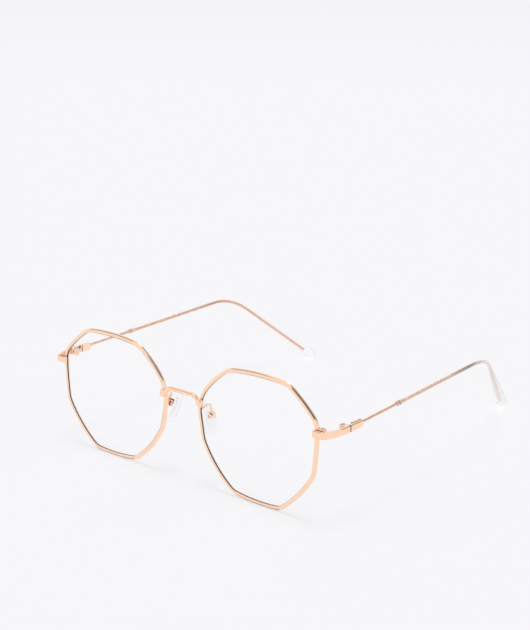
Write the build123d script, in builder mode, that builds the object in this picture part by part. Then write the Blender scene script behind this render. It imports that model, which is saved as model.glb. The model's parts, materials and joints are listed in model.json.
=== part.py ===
from build123d import *
import os

# Wire eyeglasses with eight-sided rims, standing on the rims' lower edge and the two tips, in millimetres.
# The front looks along -Y, the temples run back along +Y, and the wearer's left side is at +X.
# The origin lies under the middle of the whole part, at the height of the surface that it stands on.
# Each piece is made on the wearer's left and mirrored to the right; the bridge alone is in the middle.

# Lens outline along the middle of the rim's wire, clockwise from the corner above the nose
lens_width = 54.0
lens_height = 46.9
nose_gap = 15.2
corner_x_shares = [0.275, 0.764, 1.0, 0.979, 0.705, 0.309, 0.045, 0.0]
corner_z_shares = [0.474, 0.482, 0.241, -0.164, -0.518, -0.505, -0.153, 0.144]
side_bow_shares = [0.019, 0.012, 0.006, 0.024, 0.015, 0.026, 0.0, 0.026]
corner_radius_shares = [0.17, 0.13, 0.12, 0.17, 0.12, 0.13, 0.2, 0.25]

# Rim wire, with the groove that holds the lens, and the split that the lock closes
rim_face = 1.4
rim_depth = 1.3
rim_chamfer = 0.35
groove_depth = 0.45
groove_mouth = 0.7
groove_floor = 0.3
split_gap = 0.15
split_height = 8.2

# Lens
lens_thickness = 1.1
lens_back_radius = 300.0
lens_fit = 0.05
lens_set_back = 0.1
bevel_reach = 0.35
bevel_base = 0.44
bevel_edge = 0.12

# Endpiece: a flat bar seen from above, from the rim's front round the corner to the hinge
bar_height = 2.6
tab_thickness = 1.3
bar_thickness = 1.05
bar_chamfer = 0.3
tab_lap = 0.9
corner_reach = 4.0
flare_reach = 6.3
flare_depth = 5.2
bar_reach = 6.6
corner_bend = 1.7
inner_bend = 0.5
flare_bend = 8.0

# Rim lock: two blocks soldered to the rim's ends behind the tab, drawn together by an upright screw
lock_reach = 2.8
lock_depth = 2.2
lock_rise = 1.65
lock_drop = 1.4
lock_round = 0.3
lock_screw_radius = 0.45
lock_head_radius = 0.75
lock_head_height = 0.4
lock_screw_in = 1.05

# Hinge: three knuckles round an upright screw
knuckle_radius = 1.15
hinge_in = 2.9
hinge_back = 9.2
joint_back = 10.2
joint_gap = 0.24
knuckle_gap = 0.04
swing_gap = 0.15
web_forward = 1.0
hinge_screw_radius = 0.5
hinge_screw_fit = 0.03
hinge_head_radius = 0.85
hinge_head_height = 0.35
head_fit = 0.04
slot_width = 0.25
slot_depth = 0.18

# Temple block: the outer bar behind the joint, and the thicker box on its inner side
block_length = 7.6
block_box_start = 2.4
block_box_thickness = 0.85
block_box_height = 2.9
block_corner = 1.0
block_top_corner = 0.3
box_slot_width = 0.4
box_slot_depth = 0.3
box_slot_start = 0.7
tongue_side = 1.05
tongue_overlap = 0.3

# Temple wire, collar bead, and the clear sleeve that ends in a drop-shaped tip
wire_radius = 0.5
wire_fit = 0.03
wire_seat = 3.0
wire_in = 1.0
wire_height = 8.3
bend_back = 94.8
bend_in = 1.1
bend_rise = 1.7
bend_radius = 28.0
bend_straight = 0.5
tip_in = 14.8
tip_back = 40.9
tip_radius = 2.4
tip_lean_back = 0.35
tip_lean_up = 0.45
wire_end_short = 4.6
bead_back = 31.2
bead_radius = 0.9
bead_length = 1.5
bead_chamfer = 0.35
sleeve_gap = 0.3
sleeve_radius = 0.85
tip_length = 42.0

# Bridge: a round bar whose ends turn forward and down into flat lobes on the rims' front
bridge_radius = 0.83
bridge_height = 8.9
bridge_forward = 0.5
bridge_straight = 4.4
bridge_turn = 1.3
bridge_bend = 2.2
lobe_in = 1.4
lobe_height = 6.7
lobe_width = 2.6
lobe_rise = 3.4
lobe_thickness = 1.2
lobe_chamfer = 0.3
lobe_lean = 14.0

# Nose pad arm and box, seen in the pad's own frame: along the screw, down the pad, towards the nose
pad_box_x = 10.5
pad_box_back = 4.6
pad_box_height = 1.0
pad_splay = 25.0
pad_tilt = 20.0
pad_box_wide = 2.1
pad_box_tall = 2.4
pad_box_deep = 1.8
pad_box_wall = 0.4
arm_radius = 0.38
arm_bend = 0.9
arm_root_height = 4.4
arm_out = 2.3
arm_rise = 2.0
arm_over = 1.0
arm_root_in = 1.1

# Pad screw, and the pad's stiff core with its lug
pad_screw_radius = 0.35
pad_screw_fit = 0.04
pad_head_radius = 0.65
pad_head_height = 0.3
lug_fit = 0.15
lug_tall = 1.3
lug_tail = 0.3
core_long = 7.6
core_wide = 3.8
core_thick = 0.7
core_fit = 0.03

# Soft pad
pad_long = 12.0
pad_wide = 6.4
pad_thick = 2.3
pad_drop = 1.2
pad_stand = 0.55
pad_round = 0.9
pad_back_chamfer = 0.6
pad_narrow_share = 0.72

# One overrun for every cut
overrun = 1.0


# The lens outline, flat, with its soft corners
nasal_x = nose_gap / 2
outline_corners = [
    (nasal_x + lens_width * x, lens_height * z) for x, z in zip(corner_x_shares, corner_z_shares)
]
with BuildSketch(Plane.XY) as lens_outline:
    with BuildLine():
        for number, bow in enumerate(side_bow_shares):
            start = outline_corners[number]
            end = outline_corners[(number + 1) % len(outline_corners)]
            if bow > 0:
                SagittaArc(start, end, bow * lens_width)
            else:
                Line(start, end)
    make_face()
    for corner, radius in zip(outline_corners, corner_radius_shares):
        fillet(lens_outline.vertices().sort_by_distance(corner)[0], radius * lens_width)

# Where the shared frame lies, from the rims' lowest point, the bridge's front and the tips' back
outline_box = lens_outline.sketch.bounding_box()
outline_middle_z = (outline_box.max.Y + outline_box.min.Y) / 2
lens_z = rim_face / 2 - outline_box.min.Y
temporal_x = nasal_x + lens_width
bar_x = temporal_x + bar_reach
hinge_x = bar_x - hinge_in
tip_y = hinge_back + bend_back + tip_back
front_reach = rim_depth / 2 + lobe_thickness / 2 + bridge_radius
rim_y = (front_reach - tip_y - tip_radius) / 2


def spot(x, y, z):
    """A point measured from between the lenses' middles, at the rims' middle plane."""
    return Vector(x, rim_y + y, lens_z + z)


def facing(y):
    """A plane that faces the front, at a depth behind the rims' middle plane."""
    return Plane(origin=spot(0, y, 0), x_dir=(1, 0, 0), z_dir=(0, -1, 0))


def level(z):
    """A level plane, at a height above the lenses' middle."""
    return Plane(origin=spot(0, 0, z), x_dir=(1, 0, 0), z_dir=(0, 0, 1))


def save_pair(piece, name):
    """Writes a piece of the wearer's left, and its mirror image on the right."""
    other = mirror(piece, about=Plane.YZ, mode=Mode.PRIVATE)
    piece.label = "left_" + name
    other.label = "right_" + name
    export_step(piece, "parts/left_" + name + ".step")
    export_step(other, "parts/right_" + name + ".step")


os.makedirs("parts", exist_ok=True)

# Rim: the grooved section swept round the outline, then split behind the endpiece's tab
with BuildSketch(facing(0)) as outline_in_place:
    add(lens_outline.sketch)
rim_path = outline_in_place.sketch.wire()
path_start = rim_path @ 0
path_ahead = rim_path % 0
lens_middle = spot(nasal_x + lens_width / 2, 0, 0)
path_outward = path_ahead.cross(Vector(0, 1, 0))
if path_outward.dot(path_start - lens_middle) < 0:
    path_outward = path_outward * -1
section_plane = Plane(origin=path_start, x_dir=path_outward, z_dir=path_ahead)

with BuildPart() as left_rim:
    with BuildSketch(section_plane) as rim_section:
        Rectangle(rim_face, rim_depth)
        chamfer(rim_section.vertices().sort_by(Axis.X)[-2:], rim_chamfer)
        with BuildLine():
            Polyline(
                (-rim_face / 2 - overrun, -groove_mouth / 2),
                (-rim_face / 2, -groove_mouth / 2),
                (-rim_face / 2 + groove_depth, -groove_floor / 2),
                (-rim_face / 2 + groove_depth, groove_floor / 2),
                (-rim_face / 2, groove_mouth / 2),
                (-rim_face / 2 - overrun, groove_mouth / 2),
                close=True,
            )
        make_face(mode=Mode.SUBTRACT)
    sweep(path=rim_path)
    with BuildSketch(level(split_height)):
        with Locations((temporal_x, 0)):
            Rectangle(rim_face + 2 * overrun, rim_depth + 2 * overrun)
    extrude(amount=split_gap / 2, both=True, mode=Mode.SUBTRACT)

# Lens: a thin shell in the outline, whose edge is then swept off but for the bevel that fills the groove
lens_edge_in = rim_face / 2 + lens_fit
bevel_tip_in = rim_face / 2 - bevel_reach
edge_sag = (lens_width / 2) ** 2 / (2 * lens_back_radius)
lens_block = edge_sag + 2 * lens_thickness
shell_y = lens_set_back + lens_thickness / 2 - edge_sag + lens_back_radius
with BuildPart() as left_lens:
    with BuildSketch(facing(0)):
        add(lens_outline.sketch)
    extrude(amount=lens_block, both=True)
    with Locations(spot(nasal_x + lens_width / 2, shell_y, outline_middle_z)):
        Sphere(lens_back_radius + lens_thickness, mode=Mode.INTERSECT)
        Sphere(lens_back_radius, mode=Mode.SUBTRACT)
    with BuildSketch(section_plane):
        with BuildLine():
            Polyline(
                (overrun, -lens_block),
                (-lens_edge_in, -lens_block),
                (-lens_edge_in, -bevel_base / 2),
                (-bevel_tip_in, -bevel_edge / 2),
                (-bevel_tip_in, bevel_edge / 2),
                (-lens_edge_in, bevel_base / 2),
                (-lens_edge_in, lens_block),
                (overrun, lens_block),
                close=True,
            )
        make_face()
    sweep(path=rim_path, mode=Mode.SUBTRACT)

# Endpiece: the bar from above, the knuckles with their web, the slot for the temple's knuckle, the bores
tab_back = -rim_depth / 2
tab_front = tab_back - tab_thickness
bar_end = joint_back - joint_gap / 2
bar_top = split_height + bar_height / 2
knuckle_height = (bar_height - 2 * knuckle_gap) / 3
slot_radius = knuckle_radius + swing_gap
flare_slope = (flare_reach - corner_reach) / (flare_depth - tab_front)
inner_corner_x = temporal_x + corner_reach - tab_thickness + tab_thickness * flare_slope
with BuildPart() as left_endpiece:
    with BuildSketch(level(split_height)):
        with BuildLine():
            outer = FilletPolyline(
                (temporal_x - tab_lap, tab_front),
                (temporal_x + corner_reach, tab_front),
                (temporal_x + flare_reach, flare_depth),
                (bar_x, bar_end),
                radius=[corner_bend, flare_bend],
            )
            inner = FilletPolyline(
                (bar_x - bar_thickness, bar_end),
                (temporal_x + flare_reach - bar_thickness, flare_depth),
                (inner_corner_x, tab_back),
                (temporal_x - tab_lap, tab_back),
                radius=[flare_bend, inner_bend],
            )
            Line(outer @ 1, inner @ 0)
            Line(inner @ 1, outer @ 0)
        make_face()
    extrude(amount=bar_height / 2, both=True)
    long_edges = left_endpiece.faces().filter_by(Axis.Z).edges().sort_by(Axis.Y)[:-2]
    chamfer(long_edges, bar_chamfer)
    with BuildSketch(level(split_height)):
        with Locations((hinge_x, hinge_back)):
            Circle(knuckle_radius)
        with Locations((hinge_x, hinge_back - web_forward)):
            Rectangle(
                bar_x - bar_thickness / 2 - hinge_x,
                web_forward + bar_end - hinge_back,
                align=(Align.MIN, Align.MIN),
            )
    extrude(amount=bar_height / 2, both=True)
    with BuildSketch(level(split_height)):
        with Locations((hinge_x, hinge_back)):
            Circle(slot_radius)
        with Locations((hinge_x, hinge_back)):
            Rectangle(2 * slot_radius, 2 * slot_radius, align=(Align.CENTER, Align.MIN))
    extrude(amount=knuckle_height / 2 + knuckle_gap, both=True, mode=Mode.SUBTRACT)
    with Locations(spot(hinge_x, hinge_back, bar_top)):
        CounterBoreHole(
            hinge_screw_radius + hinge_screw_fit, hinge_head_radius + head_fit, hinge_head_height
        )
save_pair(left_endpiece.part, "endpiece")
save_pair(left_rim.part, "rim")
save_pair(left_lens.part, "lens")

# Rim lock: the two blocks, shaped to the rim that they are soldered to, with the screw's bore
lock_x = temporal_x + lock_reach - lock_screw_in
lock_y = tab_back + lock_depth / 2
lock_top = split_height + split_gap / 2 + lock_rise
lock_bottom = split_height - split_gap / 2 - lock_drop
for lock_name, lock_base, lock_amount in (
    ("upper_rim_lock", lock_top - lock_rise, lock_rise),
    ("lower_rim_lock", lock_bottom + lock_drop, -lock_drop),
):
    with BuildPart() as left_lock:
        with BuildSketch(level(lock_base)):
            with Locations((temporal_x, tab_back)):
                Rectangle(lock_reach, lock_depth, align=(Align.MIN, Align.MIN))
        extrude(amount=lock_amount)
        fillet(left_lock.edges().filter_by(Axis.Z).sort_by(Axis.Y)[-2:], lock_round)
        add(left_rim.part, mode=Mode.SUBTRACT)
        with Locations(spot(lock_x, lock_y, lock_top)):
            CounterBoreHole(
                lock_screw_radius + hinge_screw_fit, lock_head_radius + head_fit, lock_head_height
            )
    save_pair(left_lock.part, lock_name)


def slotted_screw(seat, head_radius, head_height, shank_radius, length):
    """A slotted screw that hangs down from a plane through the top of its head."""
    with BuildPart() as body:
        with BuildSketch(seat):
            Circle(head_radius)
        extrude(amount=-head_height)
        with BuildSketch(seat):
            Circle(shank_radius)
        extrude(amount=-length)
        with BuildSketch(seat):
            Rectangle(2 * head_radius + overrun, slot_width)
        extrude(amount=-slot_depth, mode=Mode.SUBTRACT)
    return body.part


# The upright screws of the lock and the hinge
lock_seat = Plane(origin=spot(lock_x, lock_y, lock_top), x_dir=(1, 1, 0), z_dir=(0, 0, 1))
save_pair(
    slotted_screw(lock_seat, lock_head_radius, lock_head_height, lock_screw_radius, lock_top - lock_bottom),
    "lock_screw",
)
hinge_seat = Plane(origin=spot(hinge_x, hinge_back, bar_top), x_dir=(1, -1, 0), z_dir=(0, 0, 1))
save_pair(
    slotted_screw(hinge_seat, hinge_head_radius, hinge_head_height, hinge_screw_radius, bar_height),
    "hinge_screw",
)

# The temple's centre line: from its seat in the block, round the bend, into the tip
block_start = joint_back + joint_gap / 2
block_end = joint_back + block_length
wire_start = spot(bar_x - wire_in, block_end - wire_seat, wire_height)
bend_corner = spot(bar_x - wire_in - bend_in, hinge_back + bend_back, wire_height + bend_rise)
tip_centre = spot(bar_x - wire_in - bend_in - tip_in, hinge_back + bend_back + tip_back, tip_radius - lens_z)
wire_aim = tip_centre - Vector(0, tip_lean_back, tip_lean_up)
first_way = (bend_corner - wire_start).normalized()
last_way = (wire_aim - bend_corner).normalized()
wire_end = wire_aim - last_way * wire_end_short

# The bend is as round as its size says, or as the run up to the tip's swell has room for
half_turn_slope = (last_way - first_way).length / (last_way + first_way).length
bend_room = (wire_aim - bend_corner).length - tip_length - bend_straight
bend_fit_radius = min(bend_radius, bend_room / half_turn_slope)
with BuildLine() as temple_line:
    FilletPolyline(wire_start, bend_corner, wire_end, radius=bend_fit_radius)

# Temple wire
with BuildPart() as left_temple_wire:
    with BuildSketch(Plane(origin=wire_start, z_dir=first_way)):
        Circle(wire_radius)
    sweep(path=temple_line.wire())
save_pair(left_temple_wire.part, "temple_wire")

# The bore that the wire sits in, which is cut out of the block, the bead and the sleeve
with BuildPart() as wire_bore:
    with BuildSketch(Plane(origin=wire_start, z_dir=first_way)):
        Circle(wire_radius + wire_fit)
    sweep(path=temple_line.wire())

# Temple block: the outer bar, the box inside it, and the tongue that carries the middle knuckle
bar_inner_x = bar_x - bar_thickness
box_inner_x = bar_inner_x - block_box_thickness
box_start = block_start + block_box_start
bar_side_plane = Plane(origin=spot(bar_x, 0, split_height), x_dir=(0, 1, 0), z_dir=(1, 0, 0))
with BuildPart() as left_temple_block:
    with BuildSketch(bar_side_plane) as bar_side:
        with Locations((block_start, 0)):
            Rectangle(block_end - block_start, bar_height, align=(Align.MIN, Align.CENTER))
        fillet(bar_side.vertices().sort_by_distance((block_end, -bar_height / 2))[0], block_corner)
        fillet(bar_side.vertices().sort_by_distance((block_end, bar_height / 2))[0], block_top_corner)
    extrude(amount=-bar_thickness)
    outer_edges = left_temple_block.faces().sort_by(Axis.X)[-1].edges().sort_by(Axis.Y)[1:]
    chamfer(outer_edges, bar_chamfer)
    with BuildSketch(level(split_height)):
        with Locations((box_inner_x, box_start)):
            Rectangle(
                bar_inner_x - box_inner_x, block_end - box_start, align=(Align.MIN, Align.MIN)
            )
    extrude(amount=block_box_height / 2, both=True)
    with BuildSketch(level(split_height)):
        with Locations((box_inner_x, box_start + box_slot_start)):
            Rectangle(2 * box_slot_depth, box_slot_width)
    extrude(amount=block_box_height, both=True, mode=Mode.SUBTRACT)
    with BuildSketch(level(split_height)):
        with Locations((hinge_x, hinge_back)):
            Circle(knuckle_radius)
        with BuildLine():
            Polyline(
                (hinge_x - knuckle_radius, hinge_back),
                (box_inner_x, box_start + tongue_overlap),
                (bar_inner_x + tongue_overlap, box_start + tongue_overlap),
                (bar_inner_x + tongue_overlap, block_start),
                (hinge_x + tongue_side, block_start),
                (hinge_x + tongue_side, hinge_back),
                close=True,
            )
        make_face()
    extrude(amount=knuckle_height / 2, both=True)
    with Locations(spot(hinge_x, hinge_back, split_height + knuckle_height / 2)):
        Hole(hinge_screw_radius + hinge_screw_fit, depth=knuckle_height + overrun)
    add(wire_bore.part, mode=Mode.SUBTRACT)
save_pair(left_temple_block.part, "temple_block")

# Collar bead on the wire, just ahead of the sleeve
bead_share = (hinge_back + bead_back - (block_end - wire_seat)) / (
    hinge_back + bend_back - (block_end - wire_seat)
)
bead_middle = wire_start + (bend_corner - wire_start) * bead_share
with BuildPart() as left_collar_bead:
    with BuildSketch(Plane(origin=bead_middle, z_dir=first_way)):
        Circle(bead_radius)
    extrude(amount=bead_length / 2, both=True)
    chamfer(left_collar_bead.edges().filter_by(GeomType.CIRCLE), bead_chamfer)
    add(wire_bore.part, mode=Mode.SUBTRACT)
save_pair(left_collar_bead.part, "collar_bead")

# Clear sleeve: a tube round the bend, which swells off the wire's line into the round-ended tip
sleeve_start = bead_middle + first_way * (bead_length / 2 + sleeve_gap)
swell_start = wire_aim - last_way * tip_length
swell_length = (tip_centre - swell_start).length
swell_way = (tip_centre - swell_start).normalized()
with BuildLine() as sleeve_line:
    FilletPolyline(sleeve_start, bend_corner, swell_start, radius=bend_fit_radius)
with BuildPart() as left_temple_sleeve:
    with BuildSketch(Plane(origin=sleeve_start, z_dir=first_way)):
        Circle(sleeve_radius)
    sweep(path=sleeve_line.wire())
    with BuildSketch(Plane(origin=swell_start, x_dir=swell_way, z_dir=swell_way.cross(Vector(0, 0, 1)))):
        with BuildLine():
            Line((0, 0), (0, sleeve_radius))
            Line((0, sleeve_radius), (swell_length, tip_radius))
            CenterArc((swell_length, 0), tip_radius, 0, 90)
            Line((swell_length + tip_radius, 0), (0, 0))
        make_face()
    revolve(axis=Axis(swell_start, swell_way))
    add(wire_bore.part, mode=Mode.SUBTRACT)
save_pair(left_temple_sleeve.part, "temple_sleeve")

# Bridge: the lobes on both rims' front, and the bar that turns forward and down into them
lobe_x = nasal_x + lobe_in
lobe_y = tab_back - lobe_thickness / 2
bar_turn_x = bridge_straight + bridge_turn
with BuildPart() as bridge:
    for side in (-1, 1):
        with BuildSketch(facing(tab_back)):
            with Locations((side * lobe_x, lobe_height)):
                Ellipse(lobe_width / 2, lobe_rise / 2, rotation=side * lobe_lean)
        extrude(amount=lobe_thickness)
    chamfer(bridge.faces().sort_by(Axis.Y)[:2].edges(), lobe_chamfer)
    with BuildLine():
        bridge_line = FilletPolyline(
            spot(-lobe_x, lobe_y, lobe_height),
            spot(-bar_turn_x, -bridge_forward, bridge_height),
            spot(bar_turn_x, -bridge_forward, bridge_height),
            spot(lobe_x, lobe_y, lobe_height),
            radius=bridge_bend,
        )
    with BuildSketch(Plane(origin=bridge_line @ 0, z_dir=bridge_line % 0)):
        Circle(bridge_radius)
    sweep(path=bridge_line)
    with Locations(spot(-lobe_x, lobe_y, lobe_height), spot(lobe_x, lobe_y, lobe_height)):
        Sphere(bridge_radius)
    add(left_rim.part, mode=Mode.SUBTRACT)
    add(mirror(left_rim.part, about=Plane.YZ, mode=Mode.PRIVATE), mode=Mode.SUBTRACT)
    for side in (-1, 1):
        with Locations(spot(side * (nasal_x + rim_face / 2 + lens_width / 2), tab_back, 0)):
            Box(
                lens_width,
                lens_width,
                lens_height,
                align=(Align.CENTER, Align.MIN, Align.CENTER),
                mode=Mode.SUBTRACT,
            )
bridge.part.label = "bridge"
export_step(bridge.part, "parts/bridge.step")

# The nose pad's own frame: along the screw, down the pad, towards the nose
screw_way = Vector(0, 1, 0).rotate(Axis.Z, -pad_splay)
pad_normal = Vector(-1, 0, 0).rotate(Axis.Z, -pad_splay).rotate(Axis((0, 0, 0), screw_way), -pad_tilt)
pad_plane = Plane(
    origin=spot(pad_box_x, pad_box_back, pad_box_height), x_dir=screw_way, z_dir=pad_normal
)
box_inside = pad_box_wide - 2 * pad_box_wall

# Pad arm: a wire from the rim's back, up and over, down to the open box
arm_end = pad_plane.from_local_coords(
    Vector(0, -pad_box_tall / 2 + arm_radius, -pad_box_deep / 2 + pad_box_wall / 2)
)
arm_root = spot(nasal_x + arm_root_in, rim_depth / 2, arm_root_height)
with BuildPart() as left_pad_arm:
    with BuildLine():
        arm_line = FilletPolyline(
            arm_root,
            arm_root + Vector(0, arm_out, 0),
            arm_root + Vector(arm_over, arm_out + arm_over, arm_rise),
            arm_end,
            radius=arm_bend,
        )
    with BuildSketch(Plane(origin=arm_root, x_dir=(1, 0, 0), z_dir=(0, 1, 0))):
        Circle(arm_radius)
    sweep(path=arm_line)
    with BuildSketch(pad_plane):
        Rectangle(pad_box_wide, pad_box_tall)
    extrude(amount=pad_box_deep / 2, both=True)
    with BuildSketch(pad_plane.offset(-pad_box_deep / 2 + pad_box_wall)):
        Rectangle(box_inside, pad_box_tall + overrun)
    extrude(amount=pad_box_deep, mode=Mode.SUBTRACT)
    with BuildSketch(Plane(origin=pad_plane.origin, z_dir=screw_way)):
        Circle(pad_screw_radius + pad_screw_fit)
    extrude(amount=pad_box_wide, both=True, mode=Mode.SUBTRACT)
save_pair(left_pad_arm.part, "pad_arm")

# Pad screw, whose head lies on the box's front cheek
pad_seat = Plane(
    origin=pad_plane.origin - screw_way * (pad_box_wide / 2 + pad_head_height),
    x_dir=pad_normal,
    z_dir=screw_way * -1,
)
save_pair(
    slotted_screw(
        pad_seat, pad_head_radius, pad_head_height, pad_screw_radius, pad_box_wide + pad_head_height
    ),
    "pad_screw",
)

# Stiff core: an oval plate set in the pad's back, with the lug that the screw holds
pad_back = pad_box_deep / 2 + pad_stand
with BuildPart() as left_pad_core:
    with BuildSketch(pad_plane.offset(pad_back)):
        with Locations((0, pad_drop)):
            Ellipse(core_wide / 2, core_long / 2)
    extrude(amount=core_thick)
    with BuildSketch(pad_plane.offset(-lug_tail)):
        Rectangle(box_inside - 2 * lug_fit, lug_tall)
    extrude(amount=lug_tail + pad_back)
    with BuildSketch(Plane(origin=pad_plane.origin, z_dir=screw_way)):
        Circle(pad_screw_radius + pad_screw_fit)
    extrude(amount=pad_box_wide, both=True, mode=Mode.SUBTRACT)
save_pair(left_pad_core.part, "pad_core")

# Soft pad: a rounded drop, wider at its lower end, moulded round the core
low_radius = pad_wide / 2
high_radius = low_radius * pad_narrow_share
with BuildPart() as left_nose_pad:
    with BuildSketch(pad_plane.offset(pad_back)):
        with Locations((0, pad_drop + pad_long / 2 - low_radius)):
            Circle(low_radius)
        with Locations((0, pad_drop + high_radius - pad_long / 2)):
            Circle(high_radius)
        make_hull()
    extrude(amount=pad_thick)
    pad_faces = left_nose_pad.faces().sort_by(Axis(pad_plane.origin, pad_plane.z_dir))
    fillet(pad_faces[-1].edges(), pad_round)
    pad_faces = left_nose_pad.faces().sort_by(Axis(pad_plane.origin, pad_plane.z_dir))
    chamfer(pad_faces[0].edges(), pad_back_chamfer)
    with BuildSketch(pad_plane.offset(pad_back)):
        with Locations((0, pad_drop)):
            Ellipse(core_wide / 2 + core_fit, core_long / 2 + core_fit)
    extrude(amount=core_thick + core_fit, mode=Mode.SUBTRACT)
save_pair(left_nose_pad.part, "nose_pad")
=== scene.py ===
import json
import math

import bmesh
import bpy
from mathutils import Matrix, Vector


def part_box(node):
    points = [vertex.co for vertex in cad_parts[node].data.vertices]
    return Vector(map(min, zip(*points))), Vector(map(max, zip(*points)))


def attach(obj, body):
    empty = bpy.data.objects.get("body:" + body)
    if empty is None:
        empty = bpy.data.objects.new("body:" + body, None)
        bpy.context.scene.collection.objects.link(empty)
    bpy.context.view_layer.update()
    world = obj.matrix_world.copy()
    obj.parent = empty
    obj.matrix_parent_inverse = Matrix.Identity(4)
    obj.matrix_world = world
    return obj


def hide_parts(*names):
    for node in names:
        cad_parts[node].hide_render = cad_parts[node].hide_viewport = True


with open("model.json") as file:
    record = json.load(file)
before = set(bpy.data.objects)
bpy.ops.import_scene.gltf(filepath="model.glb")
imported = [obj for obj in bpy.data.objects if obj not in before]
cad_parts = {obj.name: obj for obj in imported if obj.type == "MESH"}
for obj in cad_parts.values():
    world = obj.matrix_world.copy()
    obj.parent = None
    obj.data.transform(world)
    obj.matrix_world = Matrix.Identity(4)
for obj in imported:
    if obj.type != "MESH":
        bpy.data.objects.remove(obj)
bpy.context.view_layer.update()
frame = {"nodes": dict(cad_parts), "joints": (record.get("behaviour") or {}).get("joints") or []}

# Thin wire eyeglasses in rose metal, on a white floor, in metres and in the model's own frame
mm = 0.001
quarter_turn = math.radians(90)
sides = {"left": 1, "right": -1}
joint_places = {joint["name"]: Vector(joint["pos_m"]) for joint in frame["joints"]}

# Camera, as the photograph has it
image_height = 630
focal_pixels = 1400
sensor_width = 36
view_azimuth = math.radians(38.95)
view_elevation = math.radians(16.60)
view_roll = math.radians(0.48)
view_target = Vector((-20.49, 0, 43.15)) * mm
view_distance = 576.22 * mm
view_near = 0.01
view_far = 60

# Clear sleeve and tip, along the left temple
sleeve_radius = 0.85 * mm
sleeve_lip = 0.15 * mm
sleeve_begin = Vector((66.955, -31.2, 34.35)) * mm
bend_corner = Vector((66.1, 31.39, 35.528)) * mm
bend_radius = 28 * mm
tip_radius = 2.4 * mm
tip_length = 42 * mm
tip_lean = Vector((0, 0.35, 0.45)) * mm
sleeve_sides = 32
lip_steps = 3
straight_steps = 12
bend_steps = 36
swell_steps = 12
tip_steps = 8
tip_open_steps = 0.2

# Soft left nose pad, in its own frame: along its screw, down the pad, towards the nose
pad_pivot = joint_places["left_pad_rock"]
pad_splay = math.radians(25)
pad_tilt = math.radians(20)
pad_back = 1.45 * mm
pad_long = 12 * mm
pad_wide = 6.4 * mm
pad_thick = 2.3 * mm
pad_drop = 1.2 * mm
pad_narrow_share = 0.72
pad_points = 48
pad_round = 0.9 * mm
pad_shoulder = 0.1 * mm
pad_crown = ((1.8 * mm, 0.04 * mm), (2.25 * mm, 0))
back_round = 0.6 * mm
round_steps = 6
pocket_long = 7.66 * mm
pocket_wide = 3.86 * mm
pocket_deep = 0.73 * mm

# Pad screw, and the round foot of the pad's box
pad_box_wide = 2.1 * mm
pad_box_deep = 1.8 * mm
pad_head_radius = 0.78 * mm
pad_head_high = 0.45 * mm
pad_head_skirt = 0.1 * mm
pad_head_steps = 7
pad_shank_radius = 0.35 * mm
pad_shank_chamfer = 0.08 * mm
pad_shank_end_radius = 0.245 * mm
foot_radius = 1.12 * mm
foot_high = 0.5 * mm
foot_steps = 8
foot_sink = 0.02 * mm
foot_aside = 0.75 * mm
foot_above = 0.45 * mm
foot_slot_turn = math.atan2(3, 4)
foot_slot_half = 0.62 * mm
pad_slot_half = 1.17 * mm
slot_wide = 0.5 * mm
slot_deep = 0.35 * mm
slot_top = 0.02 * mm
slot_slack = 1.01
slot_side_slack = 1.02
spun_sides = 28
sharp_angle = math.radians(40)

# Metal: its two tones, and noise scales in cells per metre
rose_tones = ((0.985, 0.68, 0.485), (1.0, 0.705, 0.515))
wire_tones = ((0.76, 0.50, 0.38), (0.86, 0.58, 0.44))
screw_tones = ((0.62, 0.40, 0.29), (0.74, 0.50, 0.37))
pad_screw_tones = ((0.86, 0.60, 0.43), (0.94, 0.66, 0.48))
# Painted shade on the walls of the cut slots
slot_shade_tones = ((0.05, 0.025, 0.015), (0.08, 0.04, 0.03))
tone_places = (0.35, 0.65)
tone_cells = 900
wear_cells = 2500
wear_detail = 4
wear_range = (0.7, 1.3)
mark_detail = 2
mark_depth = 0.01 * mm
mark_strength = 0.2
# Painted shade: the metal's colour darkens towards this tone within this reach of other surfaces
crevice_shade_reach = 0.6 * mm
crevice_shade_tone = (0.07, 0.045, 0.04)
crevice_shade_places = (0.3, 0.75)
crevice_shade_samples = 8
edge_samples = 6
plain_white = (1, 1, 1)

# Painted shade and reflection on the metal: shade in the temple's joint gap and on the rim's inner walls, and
# a dark reflection on the covered wire
# Painted shade in the temple joint's gap: a dark line this far behind the hinge screw, this wide and of this
# tone
joint_past_screw = 1 * mm
joint_middle = joint_places["left_temple_fold"].y + joint_past_screw
joint_line = 0.5 * mm
joint_shade_tone = (0.1, 0.045, 0.03)
# Painted shade on the rim's inner walls that face their lens's middle
lens_middle = Vector((34.5, 0, 25.53)) * mm
inner_shade_tone = (0.14, 0.04, 0.022)
inner_facing = (0.55, 0.8)
# Painted dark reflection on each wire under its sleeve, by level along it; the left wire's goes down to a
# quarter
covered_end = 49.92 * mm
painted_reflection_warmth = (1, 0.96, 0.92)
left_wire_reflection_levels = ((0.04, 0.92), (0.42, 0.85), (0.51, 0.5), (0.6, 0.25), (0.68, 0.7), (0.76, 0.95))
right_wire_reflection_levels = ((0.04, 0.92), (0.45, 0.88), (0.57, 0.8), (0.66, 0.78), (0.76, 0.95))

# Lens glass, and the painted dark reflection on its ground edge
lens_shine = 0.1
lens_shade = (0.998, 0.998, 0.998)
edge_reflection_tones = ((0.13, 0.03, 0.015), (0.18, 0.05, 0.03))
edge_reflection_cells = 3000
edge_reflection_roughness = 0.4
edge_reflection_shine = 0.1
edge_reflection_facing = (0.98, 0.96)

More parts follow.
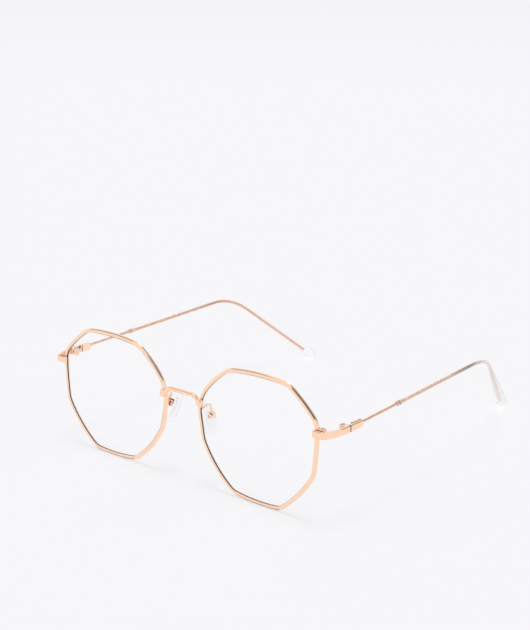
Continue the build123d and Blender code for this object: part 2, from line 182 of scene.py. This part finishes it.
# Clear plastic of the sleeves, silicone of the pads and plastic of their cores
haze_cells = 400
haze_range = (0.5, 1.5)
sleeve_tint = (1, 0.995, 0.995)
sleeve_shade = (0.97, 0.97, 0.97)
sleeve_film = (0.97, 0.945, 0.94)
pad_tones = ((0.96, 0.93, 0.99), (1.0, 0.98, 1.0))
pad_film = (0.95, 0.93, 0.99)
core_tones = ((0.95, 0.93, 0.97), (0.99, 0.97, 1.0))
core_film = (0.93, 0.91, 0.96)
gel_tone_cells = 600
gel_haze_cells = 1500
gel_roughness = (0.15, 0.3)
gel_body = 0.07
film_cells = 500
film_dimming = 0.97
film_roughness = 0.35

# Studio
floor_reach = 12
floor_white = (0.935, 0.93, 0.95)
# Painted shade: the floor greys to this far behind the object, where less light falls
far_white = (0.885, 0.885, 0.905)
far_start = 1.1
far_end = 3.3
floor_glow = 0.6
reflected_glow = 1.1
sky_light = 0.705
sun_light = 0.9
sun_spread = math.radians(20)
sun_way = Vector((0, 0, -1))

# Cards that the polished metal alone reflects: their corners, grey tones and own glow
card_corners = {
    "back_card": [(-0.06, 1.0, 0.02), (0.97, 1.0, 0.02), (0.97, 1.0, 1.9), (-0.06, 1.0, 1.9)],
    "strip_card": [(-0.5, 1.0, 0.55), (-0.12, 1.0, 0.55), (-0.12, 1.0, 1.3), (-0.5, 1.0, 1.3)],
    "side_card": [(-1.0, -1.29, 1.25), (-1.0, -0.69, 0.45), (-1.0, -0.21, 0.81), (-1.0, -0.81, 1.61)],
    "top_card": [(0.05, -0.2, 1.3), (0.5, -0.2, 1.3), (0.5, 0.25, 1.3), (0.05, 0.25, 1.3)],
    "front_card": [(0.18, -0.75, 0.77), (0.6, -0.86, 0.45), (0.73, -0.69, 0.55), (0.31, -0.58, 0.88)],
}
card_tones = {"back_card": 0.5, "strip_card": 0.5, "side_card": 0.55, "top_card": 0.08, "front_card": 0.05}
card_glows = {"strip_card": 1.4}

# Narrow dark cards just above the floor, one under each rim's flat lowest side: a painted contact shadow,
# which darkens the rim's lower edge in its reflection
low_card_spans = {"left": (22 * mm, 45.5 * mm), "right": (-47.5 * mm, -26 * mm)}
low_card_front = -73.8 * mm
low_card_back = -72.4 * mm
low_card_height = 0.2 * mm
low_card_shadow_tone = 0.25


def mirrored(mesh, side):
    """Flips a mesh made on the wearer's left to the right, with its faces still looking out."""
    if side < 0:
        mesh.transform(Matrix.Scale(-1, 4, Vector((1, 0, 0))))
        mesh.flip_normals()


def piece_from(built, name):
    """A smooth-shaded object from a bmesh."""
    mesh = bpy.data.meshes.new(name)
    built.to_mesh(mesh)
    built.free()
    mesh.shade_smooth()
    piece = bpy.data.objects.new(name, mesh)
    bpy.context.scene.collection.objects.link(piece)
    return piece


def flat_piece(name, corners):
    """A piece of one flat face."""
    built = bmesh.new()
    built.faces.new([built.verts.new(corner) for corner in corners])
    return piece_from(built, name)


def circle(built, middle, across, up, radius, count):
    """A ring of corners round a point."""
    ring = []
    for step in range(count):
        angle = 2 * math.pi * step / count
        ring.append(built.verts.new(middle + (across * math.cos(angle) + up * math.sin(angle)) * radius))
    return ring


def skin(built, rings):
    """Faces from ring to ring, with both ends closed. A ring that repeats one corner is a pole."""
    count = len(rings[0])
    for ring, after in zip(rings, rings[1:]):
        for step in range(count):
            ahead = (step + 1) % count
            corners = dict.fromkeys((ring[step], ring[ahead], after[ahead], after[step]))
            built.faces.new(list(corners))
    for end in (rings[0], rings[-1]):
        if end[0] is not end[1]:
            built.faces.new(end)
    bmesh.ops.recalc_face_normals(built, faces=built.faces[:])


def add_node(tree, kind, sockets, **settings):
    """A shader node with its settings and its sockets, each a value or another node's output."""
    made = tree.nodes.new("ShaderNode" + kind)
    for name, value in settings.items():
        setattr(made, name, value)
    for name, given in sockets.items():
        if isinstance(given, bpy.types.NodeSocket):
            tree.links.new(given, made.inputs[name])
        else:
            made.inputs[name].default_value = given
    return made


def maths(tree, operation, first, second=0, **settings):
    """The result of one operation on one or two numbers."""
    made = add_node(tree, "Math", {0: first, 1: second}, operation=operation, **settings)
    return made.outputs["Value"]


def parts_of(tree, vector):
    """The X, Y and Z of a vector."""
    return add_node(tree, "SeparateXYZ", {"Vector": vector}).outputs


def material(name):
    """A new node material, its tree and its main shader's sockets."""
    made = bpy.data.materials.new(name)
    made.use_nodes = True
    return made, made.node_tree, made.node_tree.nodes["Principled BSDF"].inputs


def noise(tree, cells, detail=3):
    """A noise pattern fixed to the piece."""
    place = add_node(tree, "TexCoord", {}).outputs["Object"]
    return add_node(tree, "TexNoise", {"Scale": cells, "Detail": detail, "Vector": place}).outputs["Fac"]


def ramp(tree, amount, stops):
    """Colours along an amount from 0 to 1, from two or more (place, colour) stops in order."""
    made = add_node(tree, "ValToRGB", {"Fac": amount})
    elements = made.color_ramp.elements
    for place, colour in stops[1:-1]:
        elements.new(place).color = (*colour, 1)
    for element, (place, colour) in ((elements[0], stops[0]), (elements[-1], stops[-1])):
        element.position = place
        element.color = (*colour, 1)
    return made.outputs["Color"]


def two_tones(tree, cells, tones):
    """Two tones of one colour in cloudy patches."""
    return ramp(tree, noise(tree, cells), list(zip(tone_places, tones)))


def remap(tree, value, start, end, low=0, high=1):
    """A value between start and end turned into one between low and high, and kept there."""
    sockets = {"Value": value, "From Min": start, "From Max": end, "To Min": low, "To Max": high}
    return add_node(tree, "MapRange", sockets).outputs["Result"]


def blend_base(made, way, amount, colour):
    """Blends a colour over a material's base colour."""
    tree = made.node_tree
    base = tree.nodes["Principled BSDF"].inputs["Base Color"]
    sockets = {"Factor": amount, "A": base.links[0].from_socket, "B": colour}
    joined = add_node(tree, "Mix", sockets, data_type="RGBA", blend_type=way)
    tree.links.new(joined.outputs["Result"], base)


def blend_surface(made, amount, other):
    """Mixes another shader over a material's surface."""
    tree = made.node_tree
    surface = tree.nodes["Material Output"].inputs["Surface"]
    mixed = add_node(tree, "MixShader", {0: amount, 1: surface.links[0].from_socket, 2: other})
    tree.links.new(mixed.outputs["Shader"], surface)


def polished(name, tones, roughness, grain, edge, own_only=False):
    """Plated metal: slight tone and polish changes, fine drawing marks, soft edges, and painted shade in its
    crevices, from ambient occlusion.
    """
    made, tree, shader = material(name)
    shader["Metallic"].default_value = 1
    tree.links.new(two_tones(tree, tone_cells, tones), shader["Base Color"])
    reach = {"Distance": crevice_shade_reach}
    crevice = add_node(tree, "AmbientOcclusion", reach, samples=crevice_shade_samples, only_local=own_only)
    stops = list(zip(crevice_shade_places, (crevice_shade_tone, plain_white)))
    blend_base(made, "MULTIPLY", 1, ramp(tree, crevice.outputs["AO"], stops))
    limits = [roughness * part for part in wear_range]
    wear = remap(tree, noise(tree, wear_cells, wear_detail), 0, 1, *limits)
    tree.links.new(wear, shader["Roughness"])
    rounded = add_node(tree, "Bevel", {"Radius": edge}, samples=edge_samples).outputs["Normal"]
    marks = {"Strength": mark_strength, "Distance": mark_depth, "Height": noise(tree, grain, mark_detail)}
    bump = add_node(tree, "Bump", {**marks, "Normal": rounded})
    tree.links.new(bump.outputs["Normal"], shader["Normal"])
    return made


def paint_joint_shade(made):
    """Paints shade on a metal: the dark line of the temple joint's gap."""
    tree = made.node_tree
    place = add_node(tree, "TexCoord", {}).outputs["Object"]
    sockets = {0: parts_of(tree, place)["Y"], 1: joint_middle, 2: joint_line / 2}
    gap_shade = add_node(tree, "Math", sockets, operation="COMPARE").outputs["Value"]
    blend_base(made, "MIX", gap_shade, (*joint_shade_tone, 1))


def paint_inner_shade(made):
    """Paints shade on the rim's inner walls, the ones that face the middle of their own lens."""
    tree = made.node_tree
    place = add_node(tree, "TexCoord", {}).outputs
    parts = parts_of(tree, place["Object"])
    aside = maths(tree, "MULTIPLY", maths(tree, "SIGN", parts["X"]), lens_middle.x)
    middle = add_node(tree, "CombineXYZ", {"X": aside, "Y": parts["Y"], "Z": lens_middle.z}).outputs["Vector"]
    inward = add_node(tree, "VectorMath", {0: middle, 1: place["Object"]}, operation="SUBTRACT")
    unit = add_node(tree, "VectorMath", {0: inward.outputs["Vector"]}, operation="NORMALIZE")
    ways = {0: unit.outputs["Vector"], 1: place["Normal"]}
    facing = add_node(tree, "VectorMath", ways, operation="DOT_PRODUCT").outputs["Value"]
    blend_base(made, "MIX", remap(tree, facing, *inner_facing), (*inner_shade_tone, 1))


def paint_reflection_in_sleeve(made, levels):
    """Paints a dark reflection on a wire where its clear sleeve covers it, by (place, level) pairs along the
    temple.
    """
    tree = made.node_tree
    place = add_node(tree, "TexCoord", {}).outputs["Object"]
    along = remap(tree, parts_of(tree, place)["Y"], sleeve_begin.y, covered_end)
    stops = [(spot, [level * part for part in painted_reflection_warmth]) for spot, level in levels]
    blend_base(made, "MULTIPLY", 1, ramp(tree, along, [(0, plain_white), *stops, (1, plain_white)]))


def wire_plating(name, levels):
    """The temple wire's satin plating, with a painted dark reflection where its sleeve covers it."""
    made = polished(name, wire_tones, roughness=0.45, grain=12000, edge=0.1 * mm, own_only=True)
    paint_reflection_in_sleeve(made, levels)
    return made


def clear(name, colour, ior, roughness, shade):
    """Glass or clear plastic that lets the light through to the floor, less a slight shade."""
    made, tree, shader = material(name)
    shader["Transmission Weight"].default_value = 1
    shader["IOR"].default_value = ior
    shader["Base Color"].default_value = (*colour, 1)
    limits = [roughness * part for part in haze_range]
    tree.links.new(remap(tree, noise(tree, haze_cells), 0, 1, *limits), shader["Roughness"])
    passing = add_node(tree, "BsdfTransparent", {"Color": (*shade, 1)}).outputs["BSDF"]
    path = add_node(tree, "LightPath", {}).outputs
    blend_surface(made, path["Is Shadow Ray"], passing)
    return made


def gel(name, tones):
    """Soft clear silicone, thin enough to look through without bending the view."""
    made, tree, shader = material(name)
    tree.links.new(two_tones(tree, gel_tone_cells, tones), shader["Base Color"])
    tree.links.new(remap(tree, noise(tree, gel_haze_cells), 0, 1, *gel_roughness), shader["Roughness"])
    shader["Alpha"].default_value = gel_body
    return made


def paint_edge_reflection(made):
    """Paints a dark reflection on a lens's ground edge, wherever its surface turns away from the front and
    back.
    """
    tree = made.node_tree
    normal = add_node(tree, "TexCoord", {}).outputs["Normal"]
    facing = maths(tree, "ABSOLUTE", parts_of(tree, normal)["Y"])
    tone = two_tones(tree, edge_reflection_cells, edge_reflection_tones)
    sockets = {"Base Color": tone, "Roughness": edge_reflection_roughness, "Specular IOR Level": edge_reflection_shine}
    ground = add_node(tree, "BsdfPrincipled", sockets).outputs["BSDF"]
    blend_surface(made, remap(tree, facing, *edge_reflection_facing), ground)


def add_film(made, colour, start, end):
    """Adds the milky film that soft clear plastic shows where it is seen edge on."""
    tree = made.node_tree
    cloud = two_tones(tree, film_cells, ([part * film_dimming for part in colour], colour))
    sockets = {"Base Color": cloud, "Roughness": film_roughness}
    film = add_node(tree, "BsdfPrincipled", sockets).outputs["BSDF"]
    edge_on = add_node(tree, "LayerWeight", {}).outputs["Facing"]
    inside = add_node(tree, "NewGeometry", {}).outputs["Backfacing"]
    amount = maths(tree, "SUBTRACT", remap(tree, edge_on, start, end), inside, use_clamp=True)
    blend_surface(made, amount, film)


def make_lens_glass():
    """Coated lens glass, with a painted dark reflection on its ground edge."""
    made = clear("lens_glass", plain_white, ior=1.5, roughness=0, shade=lens_shade)
    made.node_tree.nodes["Principled BSDF"].inputs["Specular IOR Level"].default_value = lens_shine
    paint_edge_reflection(made)
    return made


rose = polished("rose_plating", rose_tones, roughness=0.13, grain=9000, edge=0.15 * mm)
hinge_rose = polished("hinge_plating", rose_tones, roughness=0.13, grain=9000, edge=0.15 * mm)
paint_joint_shade(hinge_rose)
rim_rose = polished("rim_plating", rose_tones, roughness=0.13, grain=9000, edge=0.1 * mm, own_only=True)
paint_inner_shade(rim_rose)
left_wire = wire_plating("left_wire_plating", left_wire_reflection_levels)
right_wire = wire_plating("right_wire_plating", right_wire_reflection_levels)
screw = polished("screw_plating", screw_tones, roughness=0.22, grain=12000, edge=0.06 * mm)
pad_plating = polished("pad_screw_plating", pad_screw_tones, roughness=0.2, grain=12000, edge=0.04 * mm)
slot_painted_shade = polished("slot_shade", slot_shade_tones, roughness=0.5, grain=12000, edge=0.02 * mm)
soft_clear = clear("sleeve_plastic", sleeve_tint, ior=1.12, roughness=0.03, shade=sleeve_shade)
add_film(soft_clear, sleeve_film, start=0.34, end=0.85)
pad_clear = gel("pad_silicone", pad_tones)
add_film(pad_clear, pad_film, start=0.7, end=1)
core = gel("core_plastic", core_tones)
add_film(core, core_film, start=0.75, end=1)
finishes = {
    "lens": make_lens_glass(),
    "rim": rim_rose,
    "endpiece": hinge_rose,
    "temple_block": hinge_rose,
    "collar_bead": left_wire,
    "left_temple_wire": left_wire,
    "right_temple_wire": right_wire,
    "pad_core": core,
    "lock_screw": screw,
    "hinge_screw": screw,
    "pad_screw": pad_plating,
}
for name, node in frame["nodes"].items():
    kind = name.split("_", 1)[-1]
    node.data.materials.clear()
    node.data.materials.append(finishes.get(name, finishes.get(kind, rose)))


def sleeve_line():
    """The sleeve's centre line as (point, direction, radius), and the direction across its bend."""
    low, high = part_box("left_temple_sleeve")
    tip_centre = Vector((low.x + tip_radius, high.y - tip_radius, low.z + tip_radius))
    tip_end = tip_centre - tip_lean
    first_way = (bend_corner - sleeve_begin).normalized()
    last_way = (tip_end - bend_corner).normalized()
    turn = first_way.angle(last_way)
    arc_start = bend_corner - first_way * bend_radius * math.tan(turn / 2)
    inward = (last_way - first_way * first_way.dot(last_way)).normalized()
    arc_centre = arc_start + inward * bend_radius
    line = []
    for step in range(lip_steps + 1):
        angle = quarter_turn * step / lip_steps
        point = sleeve_begin + first_way * sleeve_lip * (1 - math.cos(angle))
        line.append((point, first_way, sleeve_radius - sleeve_lip * (1 - math.sin(angle))))
    for step in range(1, straight_steps):
        point = sleeve_begin + (arc_start - sleeve_begin) * step / straight_steps
        line.append((point, first_way, sleeve_radius))
    for step in range(bend_steps + 1):
        angle = turn * step / bend_steps
        round_bend = first_way * math.sin(angle) - inward * math.cos(angle)
        way = first_way * math.cos(angle) + inward * math.sin(angle)
        line.append((arc_centre + round_bend * bend_radius, way, sleeve_radius))
    swell = tip_centre - tip_end + last_way * tip_length
    swell_way = swell.normalized()
    for step in range(swell_steps + 1):
        share = step / swell_steps
        radius = sleeve_radius + (tip_radius - sleeve_radius) * share
        line.append((tip_centre - swell * (1 - share), swell_way, radius))
    for step in range(1, tip_steps + 1):
        angle = quarter_turn * step / (tip_steps + tip_open_steps)
        point = tip_centre + swell_way * tip_radius * math.sin(angle)
        line.append((point, swell_way, tip_radius * math.cos(angle)))
    return line, inward.cross(first_way).normalized()


def make_sleeve(side_name, side):
    """The clear sleeve: rings along its centre line, closed at both ends."""
    line, across = sleeve_line()
    built = bmesh.new()
    rings = []
    for point, way, radius in line:
        rings.append(circle(built, point, across, way.cross(across).normalized(), radius, sleeve_sides))
    skin(built, rings)
    piece = piece_from(built, side_name + "_clear_sleeve")
    mirrored(piece.data, side)
    piece.data.materials.append(soft_clear)
    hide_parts(side_name + "_temple_sleeve")
    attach(piece, side_name + "_temple")


def pad_axes():
    """The pad frame's directions: along its screw, down the pad, towards the nose."""
    along = Matrix.Rotation(-pad_splay, 3, "Z") @ Vector((0, 1, 0))
    outward = Matrix.Rotation(-pad_splay, 3, "Z") @ Vector((-1, 0, 0))
    outward = Matrix.Rotation(-pad_tilt, 3, along) @ outward
    return along, outward.cross(along), outward


def dome(radius, high, skirt, steps):
    """A dome's profile as (reach, radius), from its top down to a straight skirt."""
    turns = [quarter_turn * step / steps for step in range(steps + 1)]
    return [(-skirt - (high - skirt) * math.cos(turn), radius * math.sin(turn)) for turn in turns]


def spun(profile, base, axis, across):
    """A closed form turned about an axis, from a profile that starts and ends on the axis."""
    built = bmesh.new()
    up = axis.cross(across).normalized()
    rings = []
    for reach, radius in profile:
        middle = base + axis * reach
        if radius == 0:
            rings.append([built.verts.new(middle)] * spun_sides)
        else:
            rings.append(circle(built, middle, across, up, radius, spun_sides))
    skin(built, rings)
    return built


def slot_cutter(middle, axis, way, half_long):
    """The box that cuts a slot."""
    side = axis.cross(way).normalized()
    built = bmesh.new()
    rings = []
    for reach in (-slot_deep, slot_deep):
        ring = []
        for along, across in ((-1, -1), (1, -1), (1, 1), (-1, 1)):
            corner = middle + axis * reach + way * along * half_long + side * across * slot_wide / 2
            ring.append(built.verts.new(corner))
        rings.append(ring)
    skin(built, rings)
    return piece_from(built, "slot_cutter")


def cut_slot(piece, middle, axis, way, half_long):
    """Cuts a straight slot into a domed piece, whose walls take the piece's second material, a painted shade.
    """
    cutter = slot_cutter(middle, axis, way, half_long)
    cut = piece.modifiers.new("slot", "BOOLEAN")
    cut.operation = "DIFFERENCE"
    cut.object = cutter
    bpy.context.view_layer.update()
    ready = piece.evaluated_get(bpy.context.evaluated_depsgraph_get())
    piece.data = bpy.data.meshes.new_from_object(ready)
    piece.modifiers.clear()
    bpy.data.objects.remove(cutter)
    piece.data.materials.clear()
    side = axis.cross(way).normalized()
    for face in piece.data.polygons:
        off = face.center - middle
        in_depth = slot_top < off.dot(axis) < slot_deep * slot_slack
        in_width = abs(off.dot(side)) < slot_wide / 2 * slot_side_slack
        in_length = abs(off.dot(way)) < half_long * slot_slack
        face.material_index = int(in_depth and in_width and in_length)


def finish_slotted(piece, side, metal):
    """Sharpens a slotted piece's edges, takes it to its side and gives it its two materials."""
    piece.data.shade_smooth()
    piece.data.set_sharp_from_angle(angle=sharp_angle)
    mirrored(piece.data, side)
    piece.data.materials.append(metal)
    piece.data.materials.append(slot_painted_shade)


def make_pad_screw(side_name, side):
    """The pad's screw: a domed, slotted head on the box's front cheek, and its shank."""
    along, down, _ = pad_axes()
    base = pad_pivot - along * pad_box_wide / 2
    end = pad_box_wide + pad_shank_chamfer
    profile = dome(pad_head_radius, pad_head_high, pad_head_skirt, pad_head_steps)
    profile += [(0, pad_head_radius), (0, pad_shank_radius), (pad_box_wide, pad_shank_radius)]
    profile += [(end, pad_shank_end_radius), (end, 0)]
    piece = piece_from(spun(profile, base, along, down), side_name + "_domed_pad_screw")
    cut_slot(piece, base - along * pad_head_high, along, down, pad_slot_half)
    finish_slotted(piece, side, pad_plating)
    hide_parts(side_name + "_pad_screw")
    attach(piece, "front")


def make_box_foot(side_name, side):
    """The arm's domed foot on the back of the pad box."""
    along, down, outward = pad_axes()
    base = pad_pivot - outward * (pad_box_deep / 2 - foot_sink) - along * foot_aside - down * foot_above
    profile = dome(foot_radius, foot_high, 0, foot_steps) + [(foot_sink, foot_radius), (foot_sink, 0)]
    piece = piece_from(spun(profile, base, outward, down), side_name + "_box_foot")
    slot_way = down * math.cos(foot_slot_turn) + along * math.sin(foot_slot_turn)
    cut_slot(piece, base - outward * foot_high, outward, slot_way, foot_slot_half)
    finish_slotted(piece, side, rose)
    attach(piece, "front")


def pad_outline(inset):
    """The pad's drop outline, pulled in by an inset, as (across, down) points."""
    low_radius = pad_wide / 2
    high_radius = low_radius * pad_narrow_share
    low_place = pad_long / 2 - low_radius
    high_place = high_radius - pad_long / 2
    lean = math.asin((low_radius - high_radius) / (low_place - high_place))
    ends = [
        (-lean, math.pi + 2 * lean, low_radius, low_place),
        (math.pi + lean, math.pi - 2 * lean, high_radius, high_place),
    ]
    points = []
    for start, span, radius, place in ends:
        for step in range(pad_points // 2):
            angle = start + span * step / (pad_points // 2 - 1)
            across = (radius - inset) * math.cos(angle)
            points.append((across, place + (radius - inset) * math.sin(angle)))
    return points


def pad_layers():
    """The pad's rings as (outline, height): its pocket, its rounded back and front edges, and its crown."""
    pocket = []
    for across, down in pad_outline(0):
        angle = math.atan2(down * pocket_wide, across * pocket_long)
        pocket.append((pocket_wide / 2 * math.cos(angle), pocket_long / 2 * math.sin(angle)))
    layers = [(pocket, pocket_deep), (pocket, 0)]
    turns = [quarter_turn * step / round_steps for step in range(round_steps + 1)]
    for turn in turns:
        layers.append((pad_outline(back_round * (1 - math.sin(turn))), back_round * (1 - math.cos(turn))))
    for turn in turns:
        height = pad_thick - pad_round * (1 - math.sin(turn)) - pad_shoulder
        layers.append((pad_outline(pad_round * (1 - math.cos(turn))), height))
    for inset, drop in pad_crown:
        layers.append((pad_outline(inset), pad_thick - drop))
    return layers


def make_pad(side_name, side):
    """The soft pad: a pocket for the core in its back, then rounded layers up to its crowned front."""
    along, down, outward = pad_axes()
    built = bmesh.new()
    rings = []
    for outline, height in pad_layers():
        base = pad_pivot + outward * (pad_back + height) + down * pad_drop
        rings.append([built.verts.new(base + along * x + down * y) for x, y in outline])
    skin(built, rings)
    piece = piece_from(built, side_name + "_soft_pad")
    mirrored(piece.data, side)
    piece.data.materials.append(pad_clear)
    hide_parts(side_name + "_nose_pad")
    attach(piece, side_name + "_pad")


for side_name, side in sides.items():
    make_sleeve(side_name, side)
    make_pad(side_name, side)
    make_pad_screw(side_name, side)
    make_box_foot(side_name, side)


def make_floor():
    """A wide pale floor that keeps the soft shadow, with a painted shade that greys it a little far behind
    the object.
    """
    ends = ((-1, -1), (1, -1), (1, 1), (-1, 1))
    floor = flat_piece("floor", [(x * floor_reach, y * floor_reach, 0) for x, y in ends])
    made, tree, shader = material("floor_paint")
    place = add_node(tree, "TexCoord", {}).outputs["Object"]
    distance = add_node(tree, "VectorMath", {0: place}, operation="LENGTH").outputs["Value"]
    tone = ramp(tree, remap(tree, distance, far_start, far_end), [(0, floor_white), (1, far_white)])
    shader["Roughness"].default_value = 1
    shader["Specular IOR Level"].default_value = 0
    tree.links.new(tone, shader["Base Color"])
    path = add_node(tree, "LightPath", {}).outputs
    in_metal = maths(tree, "SUBTRACT", path["Is Glossy Ray"], path["Is Transmission Ray"], use_clamp=True)
    level = remap(tree, in_metal, 0, 1, 1, reflected_glow)
    glow = add_node(tree, "Emission", {"Color": tone, "Strength": level}).outputs["Emission"]
    blend_surface(made, floor_glow, glow)
    floor.data.materials.append(made)


def make_card(name, corners, tone, glow=0):
    """A studio card, seen by the polished metal alone: dark or bright lines along its edges."""
    card = flat_piece(name, corners)
    made, tree, shader = material(name + "_paint")
    shader["Base Color"].default_value = (tone, tone, tone, 1)
    shader["Roughness"].default_value = 1
    shader["Emission Color"].default_value = (*plain_white, 1)
    shader["Emission Strength"].default_value = glow
    unseen = add_node(tree, "BsdfTransparent", {}).outputs["BSDF"]
    path = add_node(tree, "LightPath", {}).outputs
    blend_surface(made, path["Is Transmission Ray"], unseen)
    card.data.materials.append(made)
    card.visible_camera = False
    card.visible_diffuse = False
    card.visible_shadow = False
    card.visible_transmission = False


def make_contact_shadow_cards():
    """The two narrow cards under the rims, dark sheets of painted contact shadow."""
    for side_name, (start, end) in low_card_spans.items():
        ends = ((start, low_card_front), (end, low_card_front), (end, low_card_back), (start, low_card_back))
        make_card(side_name + "_low_card", [(x, y, low_card_height) for x, y in ends], low_card_shadow_tone)


def make_world():
    """A plain sky: pale grey to the camera, and to metal and glass a brighter white than it lights with."""
    world = bpy.data.worlds.new("studio")
    bpy.context.scene.world = world
    world.use_nodes = True
    tree = world.node_tree
    path = add_node(tree, "LightPath", {}).outputs
    seen = maths(tree, "MAXIMUM", path["Is Camera Ray"], path["Is Glossy Ray"])
    seen = maths(tree, "MAXIMUM", seen, path["Is Transmission Ray"])
    sockets = {"Factor": path["Is Camera Ray"], "A": (*plain_white, 1), "B": (*far_white, 1)}
    tone = add_node(tree, "Mix", sockets, data_type="RGBA").outputs["Result"]
    backdrop = tree.nodes["Background"].inputs
    tree.links.new(tone, backdrop["Color"])
    tree.links.new(remap(tree, seen, 0, 1, sky_light, 1), backdrop["Strength"])


def make_sun():
    """A wide soft light straight from above, which the metal doesn't reflect."""
    light = bpy.data.lights.new("soft_sun", "SUN")
    light.energy = sun_light
    light.angle = sun_spread
    sun = bpy.data.objects.new("soft_sun", light)
    sun.rotation_euler = sun_way.to_track_quat("-Z", "Y").to_euler()
    sun.visible_glossy = False
    bpy.context.scene.collection.objects.link(sun)


def make_camera():
    """The camera, turned about its target and rolled a little, as the photograph has it."""
    lens = bpy.data.cameras.new("camera")
    lens.sensor_width = sensor_width
    lens.lens = focal_pixels * sensor_width / image_height
    lens.clip_start = view_near
    lens.clip_end = view_far
    camera = bpy.data.objects.new("camera", lens)
    bpy.context.scene.collection.objects.link(camera)
    level_back = Vector((math.sin(view_azimuth), -math.cos(view_azimuth), 0))
    back = level_back * math.cos(view_elevation) + Vector((0, 0, math.sin(view_elevation)))
    level_right = Vector((math.cos(view_azimuth), math.sin(view_azimuth), 0))
    level_up = back.cross(level_right)
    right = level_right * math.cos(view_roll) + level_up * math.sin(view_roll)
    up = level_up * math.cos(view_roll) - level_right * math.sin(view_roll)
    turned = Matrix((right, up, back)).transposed()
    camera.matrix_world = Matrix.Translation(view_target + back * view_distance) @ turned.to_4x4()
    bpy.context.scene.camera = camera


make_floor()
for name, corners in card_corners.items():
    make_card(name, corners, card_tones[name], card_glows.get(name, 0))
make_contact_shadow_cards()
make_world()
make_sun()
make_camera()
bpy.context.scene.view_settings.view_transform = "Standard"
